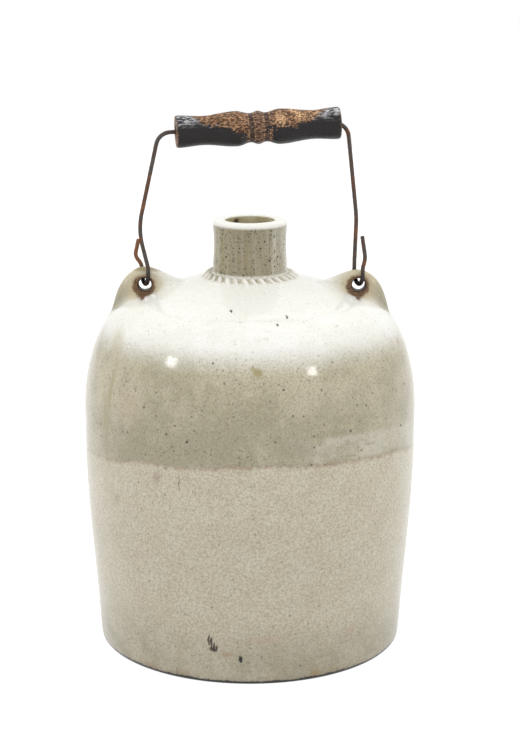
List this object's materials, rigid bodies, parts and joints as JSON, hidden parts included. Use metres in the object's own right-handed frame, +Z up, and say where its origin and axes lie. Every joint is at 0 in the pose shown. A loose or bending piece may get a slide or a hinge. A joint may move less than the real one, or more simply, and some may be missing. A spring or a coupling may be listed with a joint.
{
  "type": "stoneware jug",
  "caption": "Domed stoneware jug with a collared mouth, pierced ears on its shoulder and a swinging wire bail with a turned wooden grip.",
  "frame": {"origin": "centre of the flat base, on the surface that the jug stands on", "axes": "+Z up along the jug's axis towards the mouth, +X towards the right-hand ear, +Y to the back"},
  "size_m": [0.184, 0.184, 0.2967],
  "materials": {
    "pale_glaze": "glossy speckled cream-grey salt glaze",
    "rusty_wire": "dull brown rust",
    "painted_wood": "black paint worn to brown wood"
  },
  "bodies": {
    "jug": {"lower_body": "pale_glaze", "shoulder": "pale_glaze", "neck": "pale_glaze", "ear_left": "pale_glaze", "ear_right": "pale_glaze"},
    "bail": {"bail_wire": "rusty_wire"},
    "grip": {"wooden_grip": "painted_wood"}
  },
  "joints": [
    {"name": "bail_swing", "type": "hinge", "parent": "jug", "child": "bail", "pos_m": [0, 0, 0.20644], "axis": [1, 0, 0], "range_deg": [-97, 96]},
    {"name": "grip_spin", "type": "hinge", "parent": "bail", "child": "grip", "pos_m": [0.0043, 0, 0.28624], "axis": [0.9904, 0.1321, 0.0401], "continuous": true}
  ]
}
